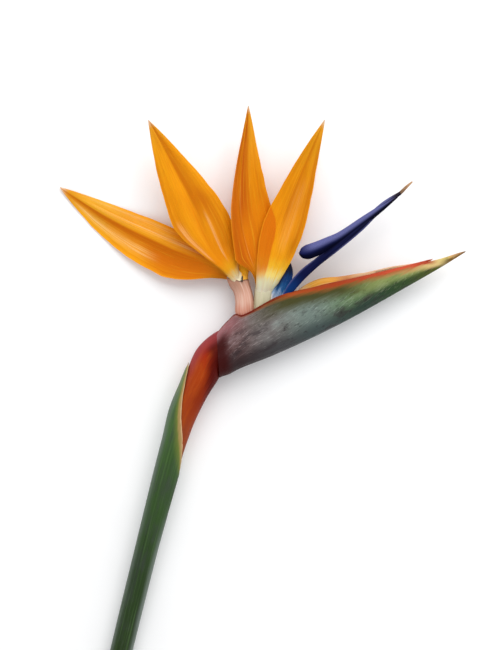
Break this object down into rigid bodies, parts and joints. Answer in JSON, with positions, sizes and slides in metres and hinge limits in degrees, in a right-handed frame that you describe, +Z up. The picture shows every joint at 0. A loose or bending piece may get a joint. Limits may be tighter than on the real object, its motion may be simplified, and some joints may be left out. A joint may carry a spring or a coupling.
{
  "type": "bird of paradise flower",
  "caption": "Cut bird of paradise flower head lying on its side: stem, wrapping bract, beak-shaped spathe, orange sepals and blue arrow of petals.",
  "frame": {"origin": "on the surface the flower lies on, under the middle of its bounding box", "axes": "+X the way the beak points, +Y from the cut end of the stem towards the sepals' tips, +Z up from the surface"},
  "size_m": [0.2438, 0.348, 0.036],
  "materials": {
    "stem_skin": "orange-red waxy skin, satin",
    "sheath_leaf": "dark green leaf with a grey bloom and a dry tan margin, satin",
    "spathe_leaf": "grey-green waxy bract with a red margin, satin",
    "pink_tube": "pale flesh pink, satin",
    "cream_tube": "cream white, satin",
    "dry_remnant": "dry and dark, matte",
    "orange_sepal": "bright orange with fine lengthwise ribs, satin, a little translucent",
    "blue_petal": "dark blue-violet, satin",
    "tan_style": "tan, matte"
  },
  "bodies": {
    "root": {"stem": "stem_skin", "sheath": "sheath_leaf", "spathe": "spathe_leaf", "floret_1_tube": "pink_tube", "floret_1_petal_stub": "dry_remnant", "floret_1_sepal_left": "orange_sepal", "floret_1_sepal_near": "orange_sepal", "floret_1_sepal_far": "orange_sepal", "floret_2_tube": "cream_tube", "floret_2_sepal_upright": "orange_sepal", "floret_2_sepal_near": "orange_sepal", "floret_2_sepal_far": "orange_sepal", "floret_2_small_petal": "blue_petal", "floret_2_arrow": "blue_petal", "floret_2_style": "tan_style", "next_bud": "orange_sepal"}
  },
  "joints": []
}
